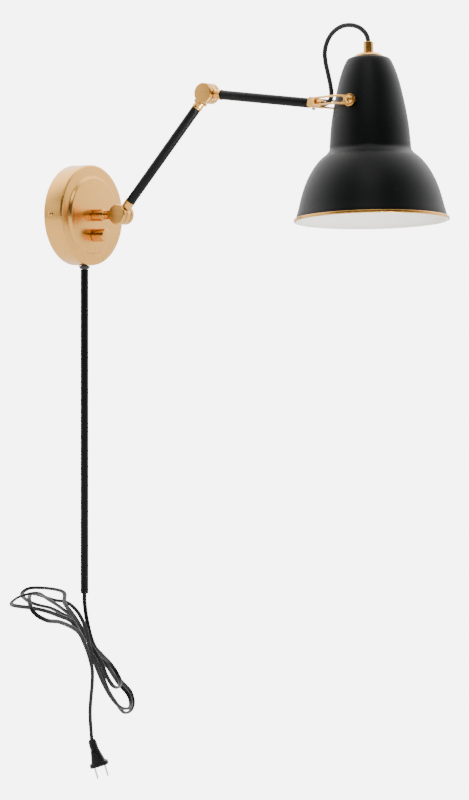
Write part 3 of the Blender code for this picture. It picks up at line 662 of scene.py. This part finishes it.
def makeShade():
    shape = shadeShape
    outer = [Vector((shape["hole"], shape["top"])), *smoothLine(shadeOutline, shape["steps"])]
    inner = []
    for i in reversed(range(len(outer))):
        before = outer[max(i - 1, 0)]
        after = outer[min(i + 1, len(outer) - 1)]
        along = (after - before).normalized()
        inner.append(outer[i] + Vector((along.y, -along.x)) * shape["wall"])
    inner[-1].x = shape["hole"]
    build = bmesh.new()
    sorts = [0] * (len(outer) - 1) + [1] * (len(inner) + 1)
    turnInto(build, outer + inner, headFrame, True, 160, sorts)
    finished("bellShade", build, [enamel, lining], "shade", ["shade"])
    rim = rimShape
    band = [
        (rim["inner"], rim["high"], rim["innerEdge"]),
        (rim["outer"], rim["high"], rim["outerEdge"]),
        (rim["outer"], rim["low"], rim["outerEdge"]),
        (rim["inner"], rim["low"], rim["innerEdge"]),
    ]
    turnedPiece("rimBand", band, headFrame, brass, "shade", "shade_rim", segments=160)
    dome = [*domeOutline, (domeShape["bore"], domeShape["base"]), (domeShape["bore"], domeShape["top"])]
    turnedPiece("shadeDome", dome, headFrame, brass, "shade", "shade_cap", segments=80)
    shape = gripShape
    grip = [
        (shape["radius"], shape["high"], shape["edge"]),
        (shape["radius"], shape["low"], shape["lowEdge"]),
        (shape["bore"], shape["low"]),
        (shape["bore"], shape["step"]),
        (shape["cable"], shape["step"]),
        (shape["cable"], shape["high"]),
    ]
    turnedPiece("cableGrip", grip, headFrame, brass, "shade", "cable_grip")


# lampholder, with the thread of its shell

holderShape = {
    "radius": 17.5, "inside": 15.0, "bore": 5.0, "top": 44.0, "ceiling": 41.0, "mouth": -6.0,
    "topEdge": 2.5, "mouthEdge": 0.4, "insideEdge": 0.3,
}
shellShape = {
    "radius": 14.0, "crest": 13.3, "root": 13.75, "low": -3.0, "pitch": 3.6, "turns": 9, "flank": 0.9,
    "threadEdge": 0.4, "floor": 32.0, "top": 32.6, "hole": 6.0,
}


def makeSocket():
    shape = holderShape
    holder = [
        (shape["radius"], shape["top"], shape["topEdge"]),
        (shape["radius"], shape["mouth"], shape["mouthEdge"]),
        (shape["inside"], shape["mouth"], shape["insideEdge"]),
        (shape["inside"], shape["ceiling"]),
        (shape["bore"], shape["ceiling"]),
        (shape["bore"], shape["top"]),
    ]
    turnedPiece("lampholder", holder, headFrame, mould, "shade", "lampholder_body")
    shape = shellShape
    crest = shape["crest"]
    flank = shape["flank"]
    edge = shape["threadEdge"]
    shell = [(shape["radius"], shape["top"]), (shape["radius"], shape["low"])]
    for k in range(shape["turns"]):
        z = shape["low"] + shape["pitch"] * k
        shell += [(crest, z), (crest, z + flank, edge), (shape["root"], z + 2 * flank, edge),
                  (crest, z + 3 * flank, edge)]
    shell += [(crest, shape["floor"]), (shape["hole"], shape["floor"]), (shape["hole"], shape["top"])]
    turnedPiece("socketShell", shell, headFrame, brass, "shade", "socket_shell")


# cords: the routes run where the CAD has them

cordRoute = (
    (0, -13.6, -455.3), (0, -13.6, -464), (1, -17, -489), (9, -21, -518), (26, -20, -532),
    (49, -15, -546), (55, -19, -556), (53, -27, -566), (43, -33, -572), (26, -37, -568),
    (16, -35, -555), (11, -31, -539), (-1, -22, -514), (-13, -20, -496), (-33, -23, -477),
    (-56, -28, -460), (-82, -46, -442), (-118, -39, -434), (-124, -29, -435), (-122, -18, -441),
    (-95, -3, -454), (-77, -3, -461), (-55, -5, -467), (-31, -4, -477), (-7, -3, -489),
    (23, -3, -519), (39, -6, -535), (63, -5, -555), (87, -3, -574), (101, -7, -589),
    (101, -11, -602), (93, -13, -610), (80, -14, -611), (61, -16, -597), (46, -14, -578),
    (25, -14, -540), (11, -13, -517), (-5, -14, -499), (-25, -15, -481), (-54, -19, -465),
    (-84, -25, -452), (-119, -36, -440), (-130, -31, -441), (-134, -21, -445), (-125, -4, -455),
    (-86, -4, -464), (-68, -9, -469), (-46, -11, -477), (-17, -8, -488), (17, -8, -518),
    (32, -10, -534), (51, -10, -551), (77, -7, -575), (85, -16, -590), (80, -23, -600),
    (70, -26, -603), (53, -26, -598), (33, -24, -578), (5, -25, -538), (-7, -26, -515),
    (-14, -27, -496), (-24, -23, -475), (-38, -18, -462), (-57, -13, -457), (-97, -10, -446),
    (-116, -27, -460), (-115, -35, -467), (-106, -41, -473), (-76, -37, -479), (-34, -31, -496),
    (-20, -29, -511), (-8, -27, -529), (-1, -26, -545), (2, -24, -560), (4, -19, -598),
    (6, -20, -632),
)
headRoute = (
    (0, -344.1, 120.03), (0, -348.6, 119.48), (0, -353.1, 118.92), (0, -357.7, 119.4), (0.1, -361.4, 121.7),
    (0.2, -363.7, 125.4), (0.3, -364.3, 130), (0.6, -362.9, 140), (1.1, -359.2, 153.7), (1.6, -355.6, 167),
    (2, -354.6, 178.7), (2.5, -357.6, 189.7), (2.9, -364.4, 199), (3.4, -375.5, 205.2), (4, -388.3, 206),
    (4.6, -399.5, 202), (5, -406.3, 195.6), (4.78, -409, 190.3), (4.5, -410.04, 186.15),
    (4.06, -410.45, 179.08),
)
flatCord = {"width": 5.0, "thickness": 2.9, "across": (0.62, -0.78, 0.1), "sides": 24, "steps": 7}
headCable = {"diameter": 5.2, "across": (1.0, 0.0, 0.0), "sides": 20, "steps": 12}


# two round leads side by side, with the web between them
def twinSection(shape):
    lobe = shape["thickness"] / 2
    offset = shape["width"] / 2 - lobe
    section = []
    for k in range(shape["sides"]):
        turn = 2 * pi * k / shape["sides"]
        reach = offset * abs(cos(turn)) + (lobe ** 2 - (offset * sin(turn)) ** 2) ** 0.5
        section.append(Vector((reach * cos(turn), reach * sin(turn))) * mm)
    return section


def roundSection(shape):
    radius = shape["diameter"] / 2
    turns = [2 * pi * k / shape["sides"] for k in range(shape["sides"])]
    return [Vector((radius * cos(turn), radius * sin(turn))) * mm for turn in turns]


# the section keeps its own side along the path, and the UV map says how far along and around a spot is
def sweep(name, path, section, across, look):
    build = bmesh.new()
    layer = build.loops.layers.uv.new("along")
    side = Vector(across)
    rings = []
    lengths = [0.0]
    for i, point in enumerate(path):
        along = (path[min(i + 1, len(path) - 1)] - path[max(i - 1, 0)]).normalized()
        side = (side - side.dot(along) * along).normalized()
        up = along.cross(side)
        rings.append([build.verts.new(point + side * p.x + up * p.y) for p in section])
        if i:
            lengths.append(lengths[-1] + (point - path[i - 1]).length)
    count = len(section)
    for i in range(len(rings) - 1):
        for k in range(count):
            n = (k + 1) % count
            face = build.faces.new((rings[i][k], rings[i][n], rings[i + 1][n], rings[i + 1][k]))
            spots = ((k, i), (k + 1, i), (k + 1, i + 1), (k, i + 1))
            for loop, (around, station) in zip(face.loops, spots):
                loop[layer].uv = (around / count, lengths[station])
    build.faces.new(reversed(rings[0]))
    build.faces.new(rings[-1])
    return finished(name, build, [look], None, sharp=70)


def routePath(route, steps):
    return [point * mm for point in smoothLine(route, steps)]


def pathLength(path):
    return sum((b - a).length for a, b in zip(path, path[1:]))


def makeCords():
    path = routePath(cordRoute, flatCord["steps"])
    cord = sweep("flatCord", path, twinSection(flatCord), flatCord["across"], cordSkin)
    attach(cord, "wall_base")
    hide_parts("power_cord")
    plug = makePlug(path[-1])
    length = pathLength(path)
    print("flat cord", round(length, 3), "m")
    path = routePath(headRoute, headCable["steps"])
    section = roundSection(headCable)
    cable = sweep("braidedCable", path, section, headCable["across"], braid)
    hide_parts("head_cable")
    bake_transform(cable)
    length = pathLength(path)
    print("braided cable", round(length, 3), "m")


# plug: stations give the distance from the cord's end, the half width and the half depth

plugShape = {
    "axis": (0.165, -0.24, -0.956),
    "across": (0.566, -0.824, 0.0),
    "stations": (
        (-0.6, 3.3, 2.6), (0.4, 4.4, 3.6), (12.0, 4.7, 4.3), (13.0, 5.5, 5.0), (16.0, 6.0, 5.5),
        (20.0, 6.9, 6.1), (24.0, 7.9, 6.7), (27.2, 8.7, 7.1), (28.0, 10.9, 7.9), (28.8, 11.4, 8.2),
        (31.8, 11.4, 8.2), (32.5, 11.0, 7.9),
    ),
    "squareness": 0.62,
    "sides": 48,
}
ribShape = {"Count": 4, "Spacing": 2.35 * mm, "Depth": 1.15 * mm, "Width": 5.2 * mm, "Height": 4.7 * mm}
ribStart = 3.6
ribSides = 40


def plugMatrix(start):
    axis = Vector(plugShape["axis"]).normalized()
    across = Vector(plugShape["across"])
    across = (across - across.dot(axis) * axis).normalized()
    turn = Matrix((across, axis.cross(across), axis)).transposed().to_4x4()
    return Matrix.Translation(start) @ turn


def ovalRing(wide, deep):
    out = []
    for k in range(plugShape["sides"]):
        turn = 2 * pi * (k + 0.5) / plugShape["sides"]
        c, s = cos(turn), sin(turn)
        x = wide * abs(c) ** plugShape["squareness"] * (1 if c > 0 else -1)
        y = deep * abs(s) ** plugShape["squareness"] * (1 if s > 0 else -1)
        out.append((x, y))
    return out


# oval discs in a row along Z
def ribTree():
    tree = bpy.data.node_groups.new("reliefRibs", "GeometryNodeTree")
    face = tree.interface
    face.new_socket("Geometry", in_out="INPUT", socket_type="NodeSocketGeometry")
    names = {}
    for name, kind in (("Count", "Int"), ("Spacing", "Float"), ("Depth", "Float"), ("Width", "Float"),
                       ("Height", "Float"), ("Look", "Material")):
        names[name] = face.new_socket(name, in_out="INPUT", socket_type="NodeSocket" + kind).identifier
    face.new_socket("Geometry", in_out="OUTPUT", socket_type="NodeSocketGeometry")
    plan = Nodes(tree)
    given = plan.node("NodeGroupInput")
    step = plan.node("ShaderNodeCombineXYZ", {}, {"Z": given.beside("Spacing")})
    line = plan.node("GeometryNodeMeshLine", {}, {"Count": given.beside("Count"), "Offset": step})
    sockets = {"Vertices": ribSides, "Radius": 1.0, "Depth": given.beside("Depth")}
    rib = plan.node("GeometryNodeMeshCylinder", {}, sockets, "Mesh")
    sockets = {"X": given.beside("Width"), "Y": given.beside("Height"), "Z": 1.0}
    size = plan.node("ShaderNodeCombineXYZ", {}, sockets)
    sockets = {"Points": line, "Instance": rib, "Scale": size}
    each = plan.node("GeometryNodeInstanceOnPoints", {}, sockets)
    real = plan.node("GeometryNodeRealizeInstances", {}, {0: each})
    look = plan.node("GeometryNodeSetMaterial", {}, {"Geometry": real, "Material": given.beside("Look")})
    plan.node("NodeGroupOutput", {}, {0: look})
    return tree, names


def makeRibs(place):
    tree, names = ribTree()
    holder = bpy.data.objects.new("ribSource", bpy.data.meshes.new("ribSource"))
    bpy.context.scene.collection.objects.link(holder)
    ribs = holder.modifiers.new("ribs", "NODES")
    ribs.node_group = tree
    for name, value in {**ribShape, "Look": plugSkin}.items():
        ribs[names[name]] = value
    graph = bpy.context.evaluated_depsgraph_get()
    mesh = bpy.data.meshes.new_from_object(holder.evaluated_get(graph))
    holder.modifiers.remove(ribs)
    bpy.data.objects.remove(holder)
    mesh.transform(place @ shift(0, 0, ribStart))
    mesh.name = "plugRibs"
    mesh.shade_smooth()
    mesh.set_sharp_from_angle(angle=radians(40))
    piece = bpy.data.objects.new("plugRibs", mesh)
    bpy.context.scene.collection.objects.link(piece)
    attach(piece, "wall_base")
    return piece


def makePlug(start):
    place = plugMatrix(start)
    build = bmesh.new()
    rings = []
    for along, wide, deep in plugShape["stations"]:
        spots = [Vector((x, y, along)) * mm for x, y in ovalRing(wide, deep)]
        rings.append([build.verts.new(place @ spot) for spot in spots])
    sides = plugShape["sides"]
    for low, high in zip(rings, rings[1:]):
        for k in range(sides):
            n = (k + 1) % sides
            build.faces.new((low[k], low[n], high[n], high[k]))
    build.faces.new(reversed(rings[0]))
    build.faces.new(rings[-1])
    bmesh.ops.recalc_face_normals(build, faces=build.faces)
    body = finished("plugMoulding", build, [plugSkin], "wall_base", ["plug_body"], sharp=32)
    return [body, makeRibs(place)]


# the smaller pieces keep their CAD outline, with eased edges of this width in mm

polished = {
    "yoke_strap_left": ("yoke", brass, "satin_brass", 0.3),
    "yoke_strap_right": ("yoke", brass, "satin_brass", 0.3),
    "yoke_block": ("yoke", brass, "satin_brass", 0.25),
    "yoke_lock_screw": ("yoke", brass, "satin_brass", 0.15),
    "pivot_screw_left": ("yoke", brass, "satin_brass", 0.15),
    "pivot_screw_right": ("yoke", brass, "satin_brass", 0.15),
    "canopy_screw_left": ("wall_base", brass, "satin_brass", 0.12),
    "canopy_screw_right": ("wall_base", brass, "satin_brass", 0.12),
    "cord_gland": ("wall_base", mould, "phenolic", 0.25),
    "mounting_bracket": ("wall_base", zinc, "zinc_steel", 0.2),
    "dimmer_body": ("wall_base", mould, "phenolic", 0.3),
}


def polish(node, body, look, slot, width):
    build = bmesh.new()
    build.from_mesh(frame["nodes"][node].data)
    bmesh.ops.remove_doubles(build, verts=build.verts, dist=0.00001)
    bmesh.ops.dissolve_limit(build, angle_limit=radians(1), verts=build.verts, edges=build.edges)
    mesh = bpy.data.meshes.new(node + "_source")
    build.to_mesh(mesh)
    build.free()
    source = bpy.data.objects.new(node + "_source", mesh)
    bpy.context.scene.collection.objects.link(source)
    bevel = source.modifiers.new("edge", "BEVEL")
    bevel.width = width * mm
    bevel.segments = 2
    bevel.limit_method = "ANGLE"
    bevel.angle_limit = radians(35)
    graph = bpy.context.evaluated_depsgraph_get()
    made = bpy.data.meshes.new_from_object(source.evaluated_get(graph))
    bpy.data.objects.remove(source)
    words = node.split("_")
    name = words[0] + "".join(word.title() for word in words[1:]) + "Eased"
    made.name = name
    made.materials.clear()
    made.materials.append(look)
    made.shade_smooth()
    made.set_sharp_from_angle(angle=radians(32))
    piece = bpy.data.objects.new(name, made)
    bpy.context.scene.collection.objects.link(piece)
    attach(piece, body)
    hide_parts(node)


# what stays as in the CAD takes the finish of its slot

keptLooks = {
    "zinc_steel": zinc, "satin_brass": brass, "cord_pvc": cordSkin, "wire_pvc": plugSkin,
    "phenolic": mould, "ceramic": glaze, "blade_nickel": nickel, "washer_fibre": fibre,
    "socket_brass": brass, "arm_enamel": enamel,
    "shade_enamel": enamel, "head_braid": braid,
}


def paintKeptNodes():
    slots = {row["node"]: row["material_slot"] for row in frame["record"]["subparts"]}
    for name, node in frame["nodes"].items():
        node.data.materials.clear()
        node.data.materials.append(keptLooks[slots[name]])


# floor, sky and lights: the sky is dim on one side, so that the brass has contrast

studio = {
    "floorHeight": -0.72, "floorSize": 9.0, "floorColour": (0.93, 0.93, 0.93), "floorRoughness": 0.9,
    "skyTop": (1.0, 1.0, 1.0), "skyLow": (0.10, 0.095, 0.09), "riseFrom": -0.45, "riseTo": 0.45,
    "skyFront": (0.025, 0.025, 0.025), "frontFrom": -0.6, "frontTo": 0.5,
    "skyStrength": 3.5, "shownSky": 6.5,
}
lamps = {
    "keyLamp": {"at": (-1.5, -1.1, 2.2), "aim": (0.0, -0.35, 0.0), "size": 1.4, "power": 16},
    "sideLamp": {"at": (-1.5, 0.95, 0.4), "aim": (0.0, -0.1, 0.1), "size": 0.7, "power": 1.2},
    "lowLamp": {
        "at": (-0.1, -0.75, -0.66), "aim": (0.0, -0.41, 0.0), "size": 0.3, "power": 0.5, "cone": 17,
    },
}


def makeFloor():
    build = bmesh.new()
    bmesh.ops.create_grid(build, x_segments=1, y_segments=1, size=studio["floorSize"],
                          matrix=Matrix.Translation((0, 0, studio["floorHeight"])))
    mesh = bpy.data.meshes.new("floor")
    build.to_mesh(mesh)
    build.free()
    pale = Finish("paleFloor")
    pale.set("Base Color", studio["floorColour"])
    pale.set("Roughness", studio["floorRoughness"])
    glow = pale.node("ShaderNodeEmission", {}, {"Strength": studio["shownSky"]})
    seen = pale.node("ShaderNodeLightPath", output="Is Camera Ray")
    lit = Wire(pale.tree, pale.shader.outputs[0])
    mixed = pale.node("ShaderNodeMixShader", {}, {0: seen, 1: lit, 2: glow})
    pale.feed(pale.tree.nodes["Material Output"].inputs["Surface"], mixed)
    mesh.materials.append(pale.material)
    floor = bpy.data.objects.new("floor", mesh)
    bpy.context.scene.collection.objects.link(floor)


def makeSky():
    world = bpy.data.worlds.new("softStudio")
    bpy.context.scene.world = world
    world.use_nodes = True
    world.node_tree.nodes.clear()
    sky = Nodes(world.node_tree)
    where = sky.node("ShaderNodeTexCoord", output="Generated")
    height = sky.node("ShaderNodeSeparateXYZ", {}, {0: where}, "Z")
    sockets = {"Value": height, "From Min": studio["riseFrom"], "From Max": studio["riseTo"]}
    rise = sky.node("ShaderNodeMapRange", {}, sockets)
    ahead = sky.node("ShaderNodeVectorMath", {"operation": "DOT_PRODUCT"},
                     {0: where, 1: cameraView["towards"]}, "Value")
    sockets = {"Value": ahead, "From Min": studio["frontFrom"], "From Max": studio["frontTo"]}
    behind = sky.node("ShaderNodeMapRange", {"interpolation_type": "SMOOTHSTEP"}, sockets)
    colour = sky.blend(behind, studio["skyFront"], sky.blend(rise, studio["skyLow"], studio["skyTop"]))
    soft = sky.node("ShaderNodeBackground", {}, {"Strength": studio["skyStrength"], "Color": colour})
    sockets = {"Strength": studio["shownSky"], "Color": (1.0, 1.0, 1.0)}
    shown = sky.node("ShaderNodeBackground", {}, sockets)
    seen = sky.node("ShaderNodeLightPath", output="Is Camera Ray")
    both = sky.node("ShaderNodeMixShader", {}, {0: seen, 1: soft, 2: shown})
    sky.node("ShaderNodeOutputWorld", {}, {"Surface": both})


def makeLamps():
    for name, lamp in lamps.items():
        data = bpy.data.lights.new(name, "AREA")
        data.size = lamp["size"]
        data.energy = lamp["power"]
        data.spread = radians(lamp.get("cone", 180))
        light = bpy.data.objects.new(name, data)
        bpy.context.scene.collection.objects.link(light)
        light.location = lamp["at"]
        aim = Vector(lamp["aim"]) - Vector(lamp["at"])
        light.rotation_euler = aim.to_track_quat("-Z", "Y").to_euler()


addCamera(cameraView)
makeCords()
print("cords made")
makeWallEnd()
makeArms()
print("wall end and arms made")
makeShade()
makeSocket()
print("shade made")
for node, settings in polished.items():
    polish(node, *settings)
print("small pieces eased")
paintKeptNodes()
makeFloor()
makeSky()
makeLamps()
print("studio made")
